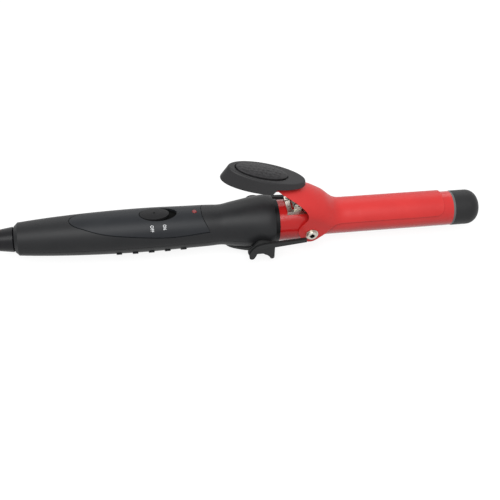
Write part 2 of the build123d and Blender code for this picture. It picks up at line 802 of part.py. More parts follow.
with BuildPart() as clamp:
    add(clamp_form(0, -12.0))
    add(clamp_form(sheet, -13.0), mode=Mode.SUBTRACT)
    # Side view of what is cut away: below the clip, round the ear and behind the saddle.
    with BuildSketch(Plane.XZ):
        with BuildLine():
            front_edge = Line((clip_front + 20, clip_edge_z), (241.0, clip_edge_z))
            lobe_front = Spline(
                (241.0, clip_edge_z),
                (236.8, 3.6),
                (233.0, -1.0),
                (228.6, -4.6),
                (225.4, -6.9),
                tangents=((-1, 0), (-1, -0.55)),
            )
            ear = ThreePointArc((225.4, -6.9), (219.5, -7.9), (214.4, -3.4))
            heel = Spline(ear @ 1, (212.1, 2.4), (214.2, 7.8), tangents=((-0.5, 1), (0.6, 1)))
            hollow = Spline(heel @ 1, (217.8, 13.0), (216.0, 21.5), tangents=((0.6, 1), (-0.8, 1)))
            lever = Spline(hollow @ 1, (206.0, 29.8), (196.6, 35.1), tangents=((-0.8, 1), (-1, 0.56)))
            Polyline(lever @ 1, (160.0, 35.1), (160.0, -20.0), (clip_front + 20, -20.0), front_edge @ 0)
        make_face()
    extrude(amount=20, both=True, mode=Mode.SUBTRACT)
    # Plan view of the tongue that the thumb pad covers.
    with BuildSketch(Plane.XY):
        with Locations((196.6 - 15.0, 0)):
            Rectangle(30.0, 60.0)
        with Locations(((196.6 + tongue_rear) / 2, 0)):
            RectangleRounded(196.6 - tongue_rear + 8.0, 2 * tongue_half_width, 3.9, mode=Mode.SUBTRACT)
    extrude(amount=60, mode=Mode.SUBTRACT)
    # Rounded free end of the clip.
    with BuildSketch(Plane.XZ):
        with Locations((clip_front - clip_corner_r, clip_edge_z + clip_corner_r)):
            Rectangle(clip_corner_r, clip_corner_r, align=(Align.MIN, Align.MAX))
            Circle(clip_corner_r, mode=Mode.SUBTRACT)
    extrude(amount=20, both=True, mode=Mode.SUBTRACT)
    add(cross_rod(shoulder_r + fit, pivot_x, 0, -20, 20), mode=Mode.SUBTRACT)
    for x in pad_rivet_xs:
        add(slope_rod(pad_rivet_r + fit, x, -2, 3), mode=Mode.SUBTRACT)

# ================================================================ thumb pad
pad_tilt = pad_top_slope_deg - pad_slope_deg
pad_base = slope_plane(pad_centre[0], -pad_skirt)
pad_top = slope_plane(pad_centre[0], pad_thickness).rotated((0, pad_tilt, 0))
insert_plane = pad_top.offset(-insert_depth)

with BuildPart() as thumb_pad:
    with BuildSketch(pad_base):
        Ellipse(pad_half_length, pad_half_width)
    with BuildSketch(pad_top):
        Ellipse(pad_top_half_length, pad_top_half_width)
    loft()
    rims = thumb_pad.faces().filter_by(GeomType.PLANE).edges()
    fillet(rims, radius=pad_edge_r)
    with BuildSketch(insert_plane):
        with Locations((insert_centre, 0)):
            Ellipse(insert_half_length + insert_groove, insert_half_width + insert_groove)
    extrude(amount=2 * insert_depth, mode=Mode.SUBTRACT)
    add(clamp_form(-part_gap, -12.0), mode=Mode.SUBTRACT)
    for side in (-1, 1):
        with BuildSketch(Plane.XZ.offset(-side * pad_web_half_width)):
            with BuildLine():
                step_rear, step_front = pad_step_xs
                Polyline(
                    (step_rear, 0),
                    (step_rear, pad_bottom_z(step_rear) - 2 * pad_skirt),
                    (step_front, pad_bottom_z(step_front) + pad_step),
                    (pivot_x, pad_bottom_z(pivot_x) + pad_step),
                    (pivot_x, 0),
                    close=True,
                )
            make_face()
        extrude(amount=-side * pad_half_width, mode=Mode.SUBTRACT)
    with BuildSketch(Plane.XZ):
        with BuildLine():
            Polyline(
                (pad_web_front, 0),
                (pad_web_front, pad_bottom_z(pad_web_front) + pad_step),
                (pivot_x, pad_bottom_z(pivot_x) + pad_step),
                (pivot_x, 0),
                close=True,
            )
        make_face()
    extrude(amount=pad_half_width, both=True, mode=Mode.SUBTRACT)
    for x in pad_rivet_xs:
        add(slope_rod(pad_rivet_r + fit, x, -1, pad_rivet_length + fit), mode=Mode.SUBTRACT)

with BuildPart() as thumb_pad_insert:
    with BuildSketch(insert_plane):
        with Locations((insert_centre, 0)):
            Ellipse(insert_half_length, insert_half_width)
    extrude(amount=insert_depth + insert_rise)
    fillet(thumb_pad_insert.faces().filter_by(GeomType.PLANE).sort_by(Axis.Z)[-1].edges(), radius=insert_rise / 2)

with BuildPart() as pad_rivets:
    for x in pad_rivet_xs:
        add(slope_rod(pad_rivet_r, x, -pad_rivet_seat, pad_rivet_length))
        add(slope_rod(pad_rivet_head_r, x, -pad_rivet_seat - 1.0, -pad_rivet_seat))

# =================================================================== spring
# Wound about its own Z axis from the moving leg to the fixed leg, then laid along Y.
coil_turns = spring_turns + (180 + fixed_leg_deg - moving_leg_deg) / 360
with BuildPart() as spring_winding:
    with BuildLine() as coil:
        Helix(2 * spring_half_length / coil_turns, 2 * spring_half_length, spring_mean_r)
    with BuildSketch(Plane(origin=coil.line @ 0, z_dir=coil.line % 0)):
        Circle(spring_wire_r)
    sweep(path=coil.line)
    for end, direction, length in ((0, -1, moving_leg_length), (1, 1, fixed_leg_length)):
        tangent = (coil.line % end) * direction
        leg_direction = Vector(tangent.X, tangent.Y, 0).normalized()
        with BuildSketch(Plane(origin=coil.line @ end, z_dir=leg_direction)):
            Circle(spring_wire_r)
        extrude(amount=length)

coil_place = Plane(
    origin=(spring_x, -spring_half_length, spring_z),
    x_dir=(sin(radians(moving_leg_deg)), 0, cos(radians(moving_leg_deg))),
    z_dir=(0, 1, 0),
)
with BuildPart() as clamp_spring:
    add(spring_winding.part.moved(coil_place.location))

sleeve_seat_z = sleeve_r + fit
bracket_top_z = sleeve_seat_z + bracket_sheet
rivet_seat_z = bracket_top_z - rivet_head_height
with BuildPart() as spring_bracket:
    with BuildSketch(Plane.XY):
        with Locations(((bracket_rear + bracket_front) / 2, 0)):
            Rectangle(bracket_front - bracket_rear, 2 * bracket_half_width)
    extrude(amount=bracket_top_z)
    with BuildSketch(Plane.XY):
        with Locations(((bracket_rear + bracket_front) / 2, 0)):
            Rectangle(bracket_front - bracket_rear + 1, 2 * (bracket_half_width - bracket_sheet))
    extrude(amount=sleeve_seat_z, mode=Mode.SUBTRACT)
    with BuildSketch(Plane.XY):
        with Locations((sum(bracket_window) / 2, 0)):
            Rectangle(bracket_window[1] - bracket_window[0], 2 * (bracket_ear_y + tab_thickness))
    extrude(amount=handle_max_r, mode=Mode.SUBTRACT)
    for side in (-1, 1):
        with BuildSketch(Plane.XZ.offset(-side * bracket_ear_y)):
            with Locations((spring_x, sleeve_seat_z)):
                Rectangle(5.6, spring_z - sleeve_seat_z, align=(Align.CENTER, Align.MIN))
                Rectangle(bracket_window[1] - bracket_window[0], bracket_sheet, align=(Align.CENTER, Align.MIN))
            with Locations((spring_x, spring_z)):
                Circle(2.8)
                Circle(pin_r + fit, mode=Mode.SUBTRACT)
        extrude(amount=-side * tab_thickness)
    add(tube(sleeve_seat_z, 0, bracket_rear - 1, bracket_front + 1), mode=Mode.SUBTRACT)
    for side in (-1, 1):
        add(upright_rod(rivet_r + fit, bracket_rivet_x, side * rivet_y, 0, 20), mode=Mode.SUBTRACT)
        add(upright_rod(rivet_head_r + fit, bracket_rivet_x, side * rivet_y, rivet_seat_z, 20), mode=Mode.SUBTRACT)

with BuildPart() as spring_pin:
    add(cross_rod(pin_r, spring_x, spring_z, -bracket_ear_y - 1.5, bracket_ear_y + 1.5))

with BuildPart() as spring_bush:
    add(cross_rod(spring_mean_r - spring_wire_r - part_gap, spring_x, spring_z, -bracket_ear_y + fit, bracket_ear_y - fit))
    add(cross_rod(pin_r + fit, spring_x, spring_z, -bracket_ear_y, bracket_ear_y), mode=Mode.SUBTRACT)

with BuildPart() as bracket_rivets:
    for side in (-1, 1):
        add(upright_rod(rivet_r, bracket_rivet_x, side * rivet_y, sleeve_r - sleeve_wall - 0.6, rivet_seat_z))
        add(upright_rod(rivet_head_r, bracket_rivet_x, side * rivet_y, rivet_seat_z, bracket_top_z))

# ==================================================================== stand
def stand_plan(inner, outer):
    """Upright block over the two arms: plates behind, arms that close in on the pivot in front."""
    taper = stand_y - arm_tip_y
    with BuildPart() as block:
        with BuildSketch(Plane.XY.offset(-40)):
            with BuildLine():
                Polyline(
                    (150.0, stand_y - inner),
                    (arm_root_x, stand_y - inner),
                    (arm_tip_x, stand_y - inner - taper),
                    (arm_tip_x, stand_y - outer - taper),
                    (arm_root_x, stand_y - outer),
                    (150.0, stand_y - outer),
                    close=True,
                )
            make_face()
            mirror(about=Plane.XZ)
        extrude(amount=80)
    return block.part


arm_middle = stand_plate / 2
tab_half = tab_thickness / 2


def tab_form(grow):
    """The two hinge tabs: an eye beside the clamp's ear and a strip that steps out into the arm."""
    eye_y = tab_inner_y + tab_half
    strip_slope = (stand_y - arm_tip_y) / (arm_tip_x - arm_root_x)
    with BuildPart() as tabs:
        with BuildSketch(Plane.XY.offset(-10)):
            with BuildLine():
                Polyline(
                    (pivot_x + tab_eye_r + 1, eye_y),
                    (pivot_x - pivot_head_r - 0.4, eye_y),
                    (arm_tip_x - 0.9, arm_tip_y - arm_middle + 0.9 * strip_slope),
                    (tab_rivet_x - 2.5, arm_tip_y - arm_middle + (arm_tip_x - tab_rivet_x + 2.5) * strip_slope),
                )
                offset(amount=tab_half + grow, kind=Kind.INTERSECTION, side=Side.BOTH)
            make_face()
            mirror(about=Plane.XZ)
        extrude(amount=20)
        with BuildSketch(Plane.XZ):
            with Locations((pivot_x, 0)):
                Circle(tab_eye_r)
            with BuildLine():
                Polyline(
                    (tab_rivet_x - 4, arm_z + tab_width / 2 + grow),
                    (arm_tip_x - 1, arm_z + tab_width / 2 + grow),
                    (pivot_x - 1, arm_z + tab_width / 2 + 0.6),
                    (pivot_x - 1, -tab_eye_r),
                    (arm_tip_x + 1, arm_z - tab_width / 2 - grow),
                    (tab_rivet_x - 4, arm_z - tab_width / 2 - grow),
                    close=True,
                )
            make_face()
        extrude(amount=30, both=True, mode=Mode.INTERSECT)
    return tabs.part


def tab_rivet_form(radius, cover):
    """Pins through the hinge tabs that stop short of the arms' outer faces."""
    with BuildPart() as pins:
        add(cross_rod(radius, tab_rivet_x, arm_z, -30, 30))
        add(stand_plan(cover, stand_plate + play), mode=Mode.INTERSECT)
    return pins.part


with BuildPart() as stand_hinge_tabs:
    add(tab_form(0))
    add(cross_rod(shoulder_r + fit, pivot_x, 0, -30, 30), mode=Mode.SUBTRACT)
    add(cross_rod(tab_rivet_r + fit, tab_rivet_x, arm_z, -30, 30), mode=Mode.SUBTRACT)

# Cradle that passes under the ferrule, with a tongue at its rear to flip the stand out.
with BuildPart() as stand_cradle:
    add(handle_body(-cradle_gap - cradle_wall, cradle_rear, cradle_front))
    add(handle_body(-cradle_gap, handle_rear, handle_front), mode=Mode.SUBTRACT)
    split(bisect_by=Plane.XY.offset(cradle_top_z), keep=Keep.BOTTOM)
    with BuildSketch(Plane.XY.offset(-40)):
        with BuildLine():
            edge = Spline(
                (cradle_rear, 0),
                (163.5, 7.0),
                (170.0, 11.5),
                (176.5, 15.5),
                (179.5, stand_y),
                tangents=((0, 1), (0.1, 1)),
            )
            Polyline(edge @ 1, (cradle_front, stand_y), (cradle_front, 0), edge @ 0)
        make_face()
        mirror(about=Plane.XZ)
    extrude(amount=80, mode=Mode.INTERSECT)

# Ledges that carry the plates on the cradle.
with BuildPart() as stand_ledges:
    with BuildSketch(Plane.XY.offset(cradle_top_z - ledge_height)):
        with Locations(((ledge_rear + cradle_front) / 2, 0)):
            Rectangle(cradle_front - ledge_rear, 2 * (stand_y - stand_plate / 2))
    extrude(amount=ledge_height)
    add(handle_body(-cradle_gap, handle_rear, handle_front), mode=Mode.SUBTRACT)

# Side view of the plates: a raised shoulder, the web between the feet and the right foot.
with BuildPart() as stand_webs:
    with BuildSketch(Plane.XZ):
        with BuildLine():
            shoulder = Spline(
                (193.9, 1.4),
                (188.5, 3.3),
                (184.5, 4.2),
                (181.3, 3.2),
                (178.7, -0.2),
                (175.3, -4.4),
                (174.9, -7.5),
                (176.7, -10.6),
                tangents=((-1, 0.25), (0.5, -1)),
            )
            arch = Spline(
                (180.9, -8.8),
                (182.7, -7.5),
                (185.0, -8.2),
                (188.9, -10.7),
                (191.3, -13.0),
                tangents=((0.7, 1), (1, -1.1)),
            )
            right_foot = ThreePointArc(arch @ 1, (193.2, -14.7), (194.5, -13.2))
            Polyline(right_foot @ 1, (193.9, 1.4))
            Line(shoulder @ 1, arch @ 0)
        make_face()
    extrude(amount=stand_y, both=True)
    add(stand_plan(rib_rise, stand_plate), mode=Mode.INTERSECT)

# Side view of the ribs that stand proud of them: the arm, which bends down into the left foot.
with BuildPart() as stand_ribs:
    with BuildSketch(Plane.XZ):
        with BuildLine():
            rib_top = Spline(
                (arm_root_x, 2.2),
                (191.1, 2.0),
                (184.1, 1.1),
                (180.5, -0.6),
                (178.3, -3.0),
                (176.8, -5.6),
                (175.9, -8.4),
                (176.1, -11.2),
                tangents=((-1, 0), (0.25, -1)),
            )
            left_foot = ThreePointArc(rib_top @ 1, (178.1, -13.3), (180.0, -11.8))
            rib_bottom = Spline(
                left_foot @ 1,
                (181.1, -9.0),
                (181.8, -6.1),
                (184.4, -3.9),
                (190.5, -2.4),
                (arm_root_x, -1.9),
                tangents=((0.45, 1), (1, 0.1)),
            )
            Polyline(rib_bottom @ 1, (arm_tip_x, -0.6), (arm_tip_x, 2.2), rib_top @ 0)
        make_face()
    extrude(amount=stand_y, both=True)
    add(stand_plan(0, stand_plate), mode=Mode.INTERSECT)

with BuildPart() as stand:
    add(stand_ribs.part)
    add(stand_webs.part)
    add(stand_cradle.part)
    add(stand_ledges.part)
    add(tab_form(fit), mode=Mode.SUBTRACT)
    add(tab_rivet_form(tab_rivet_r + fit, tab_rivet_cover - fit), mode=Mode.SUBTRACT)

with BuildPart() as tab_rivets:
    add(tab_rivet_form(tab_rivet_r, tab_rivet_cover))

# ==================================================================== nodes
nodes = {
    "upper_handle_shell": upper_handle_shell,
    "lower_handle_shell": lower_handle_shell,
    "handle_screws": handle_screws,
    "control_panel": control_panel,
    "switch_knob": switch_knob,
    "switch_slider": switch_slider,
    "switch_housing": switch_housing,
    "circuit_board": circuit_board,
    "board_screws": board_screws,
    "board_components": board_components,
    "led_lamp": led_lamp,
    "indicator_lens": indicator_lens,
    "swivel_collar": swivel_collar,
    "swivel_rings": swivel_rings,
    "swivel_brushes": swivel_brushes,
    "brush_holder": brush_holder,
    "mains_leads": mains_leads,
    "barrel_tube": barrel_tube,
    "base_sleeve": base_sleeve,
    "front_ring": front_ring,
    "pivot_nuts": pivot_nuts,
    "pivot_screws": pivot_screws,
    "tip_plug": tip_plug,
    "cool_tip": cool_tip,
    "ptc_chips": ptc_chips,
    "electrode_plates": electrode_plates,
    "insulation_plates": insulation_plates,
    "upper_heater_block": upper_heater_block,
    "lower_heater_block": lower_heater_block,
    "heater_leaf_spring": heater_leaf_spring,
    "insulation_film": insulation_film,
    "ceramic_spacer": ceramic_spacer,
    "heater_leads": heater_leads,
    "thermal_fuse": thermal_fuse,
    "clamp": clamp,
    "thumb_pad": thumb_pad,
    "thumb_pad_insert": thumb_pad_insert,
    "pad_rivets": pad_rivets,
    "clamp_spring": clamp_spring,
    "spring_bracket": spring_bracket,
    "spring_pin": spring_pin,
    "spring_bush": spring_bush,
    "bracket_rivets": bracket_rivets,
    "stand": stand,
    "stand_hinge_tabs": stand_hinge_tabs,
    "tab_rivets": tab_rivets,
}
for name, node in nodes.items():
    shape = node.part if node.part.is_valid else node.part.fix()
    shape.label = name
    export_step(shape, f"parts/{name}.step")
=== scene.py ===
import math
import random

import bmesh
import bpy
from mathutils import Matrix, Vector


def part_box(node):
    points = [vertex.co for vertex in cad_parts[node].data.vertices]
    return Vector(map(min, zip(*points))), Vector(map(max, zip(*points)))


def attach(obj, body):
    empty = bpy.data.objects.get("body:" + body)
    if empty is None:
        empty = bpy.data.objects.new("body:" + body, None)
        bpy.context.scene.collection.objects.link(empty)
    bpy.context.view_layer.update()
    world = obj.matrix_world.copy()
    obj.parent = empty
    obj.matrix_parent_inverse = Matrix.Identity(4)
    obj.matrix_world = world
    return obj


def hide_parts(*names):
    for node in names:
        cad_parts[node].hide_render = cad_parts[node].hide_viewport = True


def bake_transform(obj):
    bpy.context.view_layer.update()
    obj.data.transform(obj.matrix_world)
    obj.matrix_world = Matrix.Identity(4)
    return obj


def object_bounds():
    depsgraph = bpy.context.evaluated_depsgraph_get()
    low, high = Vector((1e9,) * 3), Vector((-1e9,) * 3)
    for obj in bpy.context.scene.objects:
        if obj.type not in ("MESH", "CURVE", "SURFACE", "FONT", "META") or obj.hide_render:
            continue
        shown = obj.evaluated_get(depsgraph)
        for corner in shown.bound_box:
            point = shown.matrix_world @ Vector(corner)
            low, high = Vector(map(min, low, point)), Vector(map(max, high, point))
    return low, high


# A curling iron: the handle and barrel lie along X, the switch and thumb pad face +Z, lengths in metres.
MM = 0.001
COARSE_PATCHES = 45.0  # patches of colour and roughness per metre on the large pieces
FINE_PATCHES = 300.0  # the same on small metal pieces and the pad's insert

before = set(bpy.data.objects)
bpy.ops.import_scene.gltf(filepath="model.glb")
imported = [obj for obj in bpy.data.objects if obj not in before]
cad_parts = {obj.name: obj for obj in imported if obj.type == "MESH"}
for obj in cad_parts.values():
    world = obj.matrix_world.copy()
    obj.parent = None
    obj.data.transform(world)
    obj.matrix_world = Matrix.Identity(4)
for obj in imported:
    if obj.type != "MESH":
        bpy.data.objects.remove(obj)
cad_low, cad_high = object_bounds()
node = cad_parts
scene = bpy.context.scene


# ------------------------------------------------------------------- materials
def material(name, colour, colour_2, roughness, roughness_2, **sockets):
    """Principled material whose colour and roughness drift between two values in soft patches."""
    made = bpy.data.materials.new(name)
    made.use_nodes = True
    tree = made.node_tree
    shader = tree.nodes["Principled BSDF"]
    place = tree.nodes.new("ShaderNodeTexCoord")
    patches = tree.nodes.new("ShaderNodeTexNoise")
    patches.inputs["Scale"].default_value = sockets.pop("patch_scale", COARSE_PATCHES)
    patches.inputs["Detail"].default_value = 6.0
    patches.inputs["Roughness"].default_value = 0.62
    tree.links.new(place.outputs["Object"], patches.inputs["Vector"])
    ramp = tree.nodes.new("ShaderNodeValToRGB")
    ramp.color_ramp.elements[0].position = 0.35
    ramp.color_ramp.elements[1].position = 0.68
    ramp.color_ramp.elements[0].color = (*colour, 1)
    ramp.color_ramp.elements[1].color = (*colour_2, 1)
    tree.links.new(patches.outputs["Fac"], ramp.inputs["Fac"])
    tree.links.new(ramp.outputs["Color"], shader.inputs["Base Color"])
    spread = tree.nodes.new("ShaderNodeMapRange")
    spread.inputs["From Min"].default_value = 0.3
    spread.inputs["From Max"].default_value = 0.7
    spread.inputs["To Min"].default_value = roughness
    spread.inputs["To Max"].default_value = roughness_2
    tree.links.new(patches.outputs["Fac"], spread.inputs["Value"])
    tree.links.new(spread.outputs["Result"], shader.inputs["Roughness"])
    for socket, value in sockets.items():
        shader.inputs[socket.replace("_", " ")].default_value = value
    return made


def grain(made, size_mm, depth_mm, strength, stretch=(1, 1, 1)):
    """Fine surface relief: moulded texture, orange peel or brushing. size_mm is the width of its features."""
    tree = made.node_tree
    shader = tree.nodes["Principled BSDF"]
    place = tree.nodes.new("ShaderNodeTexCoord")
    scale = tree.nodes.new("ShaderNodeMapping")
    scale.inputs["Scale"].default_value = tuple(1 / (size_mm * MM * s) for s in stretch)
    tree.links.new(place.outputs["Object"], scale.inputs["Vector"])
    relief = tree.nodes.new("ShaderNodeTexNoise")
    relief.inputs["Detail"].default_value = 3.0
    relief.inputs["Scale"].default_value = 1.0
    tree.links.new(scale.outputs["Vector"], relief.inputs["Vector"])
    bump = tree.nodes.new("ShaderNodeBump")
    bump.inputs["Distance"].default_value = depth_mm * MM
    bump.inputs["Strength"].default_value = strength
    tree.links.new(relief.outputs["Fac"], bump.inputs["Height"])
    tree.links.new(bump.outputs["Normal"], shader.inputs["Normal"])


shell = material("soft_touch_shell", (0.0135, 0.014, 0.0153), (0.0178, 0.0182, 0.0195), 0.42, 0.5,
                 Specular_IOR_Level=0.22)
grain(shell, 0.35, 0.012, 0.5)
panel = material("panel_plastic", (0.0135, 0.015, 0.018), (0.018, 0.0198, 0.0228), 0.42, 0.5,
                 Specular_IOR_Level=0.22)
grain(panel, 0.3, 0.01, 0.5)
knob = material("knob_plastic", (0.0105, 0.0105, 0.0113), (0.0138, 0.0138, 0.0146), 0.42, 0.52,
                Specular_IOR_Level=0.18)
grain(knob, 0.3, 0.01, 0.5)
# Painted shade: near-black matte for hollows that lie in shade, laid on as thin sheets in the switch window
# and in the pivot screws' sockets.
painted_recess_shade = material("recess_shadow", (0.002, 0.002, 0.002), (0.003, 0.003, 0.003), 0.7, 0.8,
                  Specular_IOR_Level=0.06)
pad = material("pad_rubber", (0.0165, 0.016, 0.0172), (0.0218, 0.0213, 0.0225), 0.42, 0.52,
               Specular_IOR_Level=0.3)
grain(pad, 0.45, 0.02, 0.6)
insert = material("insert_rubber", (0.01, 0.0095, 0.0105), (0.026, 0.025, 0.027), 0.38, 0.5,
                  Specular_IOR_Level=0.3, patch_scale=FINE_PATCHES)
grain(insert, 0.5, 0.04, 0.7)
stand = material("stand_plastic", (0.011, 0.0115, 0.012), (0.016, 0.0165, 0.017), 0.4, 0.5,
                 Specular_IOR_Level=0.24)
grain(stand, 0.5, 0.02, 0.6)
collar = material("collar_plastic", (0.0045, 0.0045, 0.006), (0.0075, 0.0075, 0.009), 0.28, 0.38,
                  Specular_IOR_Level=0.24)
grain(collar, 0.8, 0.01, 0.4)
ring = material("ring_plastic", (0.0035, 0.0035, 0.004), (0.006, 0.006, 0.0065), 0.4, 0.5,
                Specular_IOR_Level=0.14)
grain(ring, 0.5, 0.01, 0.4)
tip = material("tip_plastic", (0.015, 0.015, 0.016), (0.02, 0.02, 0.021), 0.44, 0.54, Specular_IOR_Level=0.24)
grain(tip, 0.4, 0.015, 0.6)
red_satin = material("clamp_red", (0.6, 0.03, 0.029), (0.65, 0.036, 0.034), 0.38, 0.46,
                     Specular_IOR_Level=0.32)
grain(red_satin, 0.8, 0.006, 0.5)
red_gloss = material("barrel_red", (0.58, 0.018, 0.018), (0.63, 0.024, 0.023), 0.2, 0.28,
                     Specular_IOR_Level=0.34, Coat_Weight=0.2, Coat_Roughness=0.08)
grain(red_gloss, 1.4, 0.006, 0.4)
# Painted shade: the sleeve wears the barrel's red paint made darker, standing in for the shade it sits in
# between the ferrule and the clamp.
shaded_sleeve_red = material("sleeve_red_painted_shade", (0.47, 0.013, 0.013), (0.51, 0.017, 0.017), 0.16, 0.24,
                      Specular_IOR_Level=0.3)
grain(shaded_sleeve_red, 1.4, 0.004, 0.3)
nickel = material("nickel", (0.5, 0.475, 0.42), (0.6, 0.575, 0.51), 0.22, 0.36,
                  Metallic=1.0, patch_scale=FINE_PATCHES)
grain(nickel, 0.25, 0.004, 0.5)
# Dark steel: partly its own blackened finish, partly painted shade for the shadow the clamp throws on its
# spring.
dark_steel_and_shade = material("spring_steel_dark_and_shade", (0.2, 0.185, 0.165), (0.3, 0.28, 0.25), 0.26, 0.42,
                 Metallic=1.0, patch_scale=FINE_PATCHES)
grain(dark_steel_and_shade, 0.2, 0.004, 0.5)
lens = material("lens_red", (0.17, 0.008, 0.011), (0.22, 0.012, 0.015), 0.14, 0.22, Specular_IOR_Level=0.45)
grain(lens, 0.6, 0.01, 0.3)
lamp = material("lamp_red", (0.6, 0.05, 0.04), (0.66, 0.07, 0.05), 0.12, 0.2, Transmission_Weight=0.3)
brass = material("brass", (0.7, 0.5, 0.2), (0.78, 0.58, 0.26), 0.22, 0.34,
                 Metallic=1.0, patch_scale=FINE_PATCHES)
alloy = material("heater_alloy", (0.68, 0.69, 0.7), (0.76, 0.77, 0.78), 0.32, 0.45, Metallic=1.0)
grain(alloy, 0.2, 0.01, 0.5, stretch=(12, 1, 1))
ceramic = material("ceramic", (0.5, 0.46, 0.4), (0.58, 0.54, 0.47), 0.6, 0.75)
grain(ceramic, 0.3, 0.02, 0.6)
film = material("polyimide", (0.55, 0.26, 0.04), (0.62, 0.32, 0.06), 0.25, 0.35)
board = material("board_laminate", (0.16, 0.1, 0.035), (0.2, 0.13, 0.05), 0.45, 0.55)
grain(board, 0.6, 0.01, 0.5, stretch=(1, 1, 4))
inner = material("inner_plastic", (0.09, 0.09, 0.09), (0.12, 0.12, 0.12), 0.45, 0.55)
grain(inner, 0.4, 0.01, 0.5)
parts_dark = material("component_body", (0.03, 0.03, 0.032), (0.045, 0.045, 0.047), 0.4, 0.5)
wire = material("wire_insulation", (0.62, 0.61, 0.58), (0.7, 0.69, 0.66), 0.4, 0.5)
ink = material("lettering_ink", (0.72, 0.73, 0.74), (0.78, 0.79, 0.8), 0.45, 0.55)

finish = {
    shell: ["upper_handle_shell", "lower_handle_shell"],
    panel: ["control_panel"],
    knob: ["switch_knob"],
    inner: ["switch_slider", "switch_housing", "brush_holder", "spring_bush", "tip_plug"],
    tip: ["cool_tip"],
    board: ["circuit_board"],
    parts_dark: ["board_components"],
    lens: ["indicator_lens"],
    lamp: ["led_lamp"],
    collar: ["swivel_collar"],
    ring: ["front_ring"],
    red_gloss: ["barrel_tube"],
    shaded_sleeve_red: ["base_sleeve"],
    red_satin: ["clamp"],
    nickel: ["pivot_screws", "spring_bracket", "spring_pin", "bracket_rivets", "pad_rivets",
             "stand_hinge_tabs", "tab_rivets", "handle_screws"],
    dark_steel_and_shade: ["clamp_spring", "board_screws", "heater_leaf_spring", "pivot_nuts", "thermal_fuse"],
    brass: ["swivel_rings", "swivel_brushes"],
    alloy: ["upper_heater_block", "lower_heater_block", "electrode_plates"],
    ceramic: ["ptc_chips", "ceramic_spacer"],
    film: ["insulation_plates", "insulation_film"],
    wire: ["mains_leads", "heater_leads"],
    pad: ["thumb_pad"],
    insert: ["thumb_pad_insert"],
    stand: ["stand"],
}
for made, names in finish.items():
    for name in names:
        for slot in node[name].material_slots:
            slot.material = made


# The torsion spring winds up as the clamp opens; this copy of it, with its placement baked in, stands in for
# the CAD node.
wound = bpy.data.objects.new("wound_spring", node["clamp_spring"].data.copy())
scene.collection.objects.link(wound)
wound.matrix_world = node["clamp_spring"].matrix_world.copy()
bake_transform(wound)
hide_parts("clamp_spring")


# ---------------------------------------------------------------------- camera
camera_place = Vector((76.407, -444.315, 463.501)) * MM
right = Vector((0.984710, -0.162024, 0.063982))
up = Vector((0.076640, 0.732782, 0.676134))
forward = Vector((0.156434, 0.660893, -0.733995))
camera = bpy.data.objects.new("camera", bpy.data.cameras.new("camera"))
scene.collection.objects.link(camera)
turn = Matrix((right, up, -forward)).transposed()
camera.matrix_world = Matrix.Translation(camera_place) @ turn.to_4x4()
camera.data.lens = 64.74
camera.data.sensor_width = 36.0
camera.data.clip_start = 0.01
scene.camera = camera


# ----------------------------------------------------------------------- light
def softbox(name, place, target, width, height, watts):
    """White rectangular lamp at place, facing target."""
    lamp_data = bpy.data.lights.new(name, "AREA")
    lamp_data.shape = "RECTANGLE"
    lamp_data.size = width
    lamp_data.size_y = height
    lamp_data.energy = watts
    lamp_object = bpy.data.objects.new(name, lamp_data)
    scene.collection.objects.link(lamp_object)
    lamp_object.location = place
    lamp_object.rotation_euler = (Vector(target) - Vector(place)).to_track_quat("-Z", "Y").to_euler()


def seen_directly(tree):
    """Socket that is 1 for what the camera, a reflection or a clear material sees, and 0 for diffuse light."""
    path = tree.nodes.new("ShaderNodeLightPath")
    first = tree.nodes.new("ShaderNodeMath")
    first.operation = "MAXIMUM"
    second = tree.nodes.new("ShaderNodeMath")
    second.operation = "MAXIMUM"
    tree.links.new(path.outputs["Is Camera Ray"], first.inputs[0])
    tree.links.new(path.outputs["Is Glossy Ray"], first.inputs[1])
    tree.links.new(first.outputs[0], second.inputs[0])
    tree.links.new(path.outputs["Is Transmission Ray"], second.inputs[1])
    return second.outputs[0]


softbox("key", (0.0, -0.54, 0.92), (0.18, 0, 0), 0.9, 0.6, 9.2)
softbox("back", (0.3, 0.8, 0.6), (0.2, 0, 0), 1.2, 0.5, 2.2)

# White surroundings, at half strength as a light so that they fill the shadows without flattening them.
world = bpy.data.worlds.new("studio")
scene.world = world
world.use_nodes = True
tree = world.node_tree
surroundings = tree.nodes["Background"]
level = tree.nodes.new("ShaderNodeMapRange")
level.inputs["To Min"].default_value = 0.5
level.inputs["To Max"].default_value = 1.0
tree.links.new(seen_directly(tree), level.inputs["Value"])
tree.links.new(level.outputs["Result"], surroundings.inputs["Strength"])
surroundings.inputs["Color"].default_value = (1, 1, 1, 1)

# Floor under the iron: white to the camera and in reflections, with only a faint shadow.
mesh = bpy.data.meshes.new("floor")
half = 6.0
floor_z = cad_low.z - 0.5 * MM
mesh.from_pydata([(x, y, floor_z) for x, y in ((-half, -half), (half, -half), (half, half), (-half, half))],
                 [], [(0, 1, 2, 3)])
floor = bpy.data.objects.new("floor", mesh)
scene.collection.objects.link(floor)
paper = bpy.data.materials.new("paper")
paper.use_nodes = True
tree = paper.node_tree
out = tree.nodes["Material Output"]
tree.nodes.remove(tree.nodes["Principled BSDF"])
glow = tree.nodes.new("ShaderNodeEmission")
tree.links.new(seen_directly(tree), glow.inputs["Strength"])
glow.inputs["Color"].default_value = (0.86, 0.86, 0.86, 1)
matte = tree.nodes.new("ShaderNodeBsdfDiffuse")
matte.inputs["Color"].default_value = (0.2, 0.2, 0.2, 1)
both = tree.nodes.new("ShaderNodeAddShader")
tree.links.new(glow.outputs[0], both.inputs[0])
tree.links.new(matte.outputs[0], both.inputs[1])
tree.links.new(both.outputs[0], out.inputs["Surface"])
mesh.materials.append(paper)


